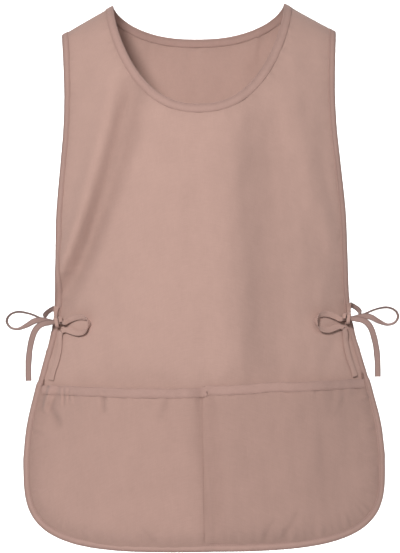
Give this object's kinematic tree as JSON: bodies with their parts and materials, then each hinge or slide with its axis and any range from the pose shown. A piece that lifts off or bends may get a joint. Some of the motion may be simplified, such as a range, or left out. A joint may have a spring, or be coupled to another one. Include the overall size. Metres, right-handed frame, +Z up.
{
  "type": "cobbler apron",
  "caption": "Cobbler apron with a round neckline, a front and a back panel joined at the shoulders, a divided pocket across the lower front, bound edges and a tied bow at each side.",
  "frame": {"origin": "halfway between the two points where the shoulder seams meet the neckline, where the apron rests on the shoulders", "axes": "+Z up along the hanging cloth, -Y out of the front, +X to the right as seen from the front"},
  "size_m": [0.5184, 0.1718, 0.7221],
  "materials": {
    "cloth": "matte woven twill",
    "binding": "matte bias binding",
    "tie": "matte folded tape"
  },
  "bodies": {
    "root": {"front_panel": "cloth", "back_panel": "cloth", "pocket_panel": "cloth", "pocket_band": "binding", "neck_binding": "binding", "front_edge_binding": "binding", "back_edge_binding": "binding", "left_front_tie": "tie", "left_back_tie": "tie", "right_front_tie": "tie", "right_back_tie": "tie"}
  },
  "joints": []
}
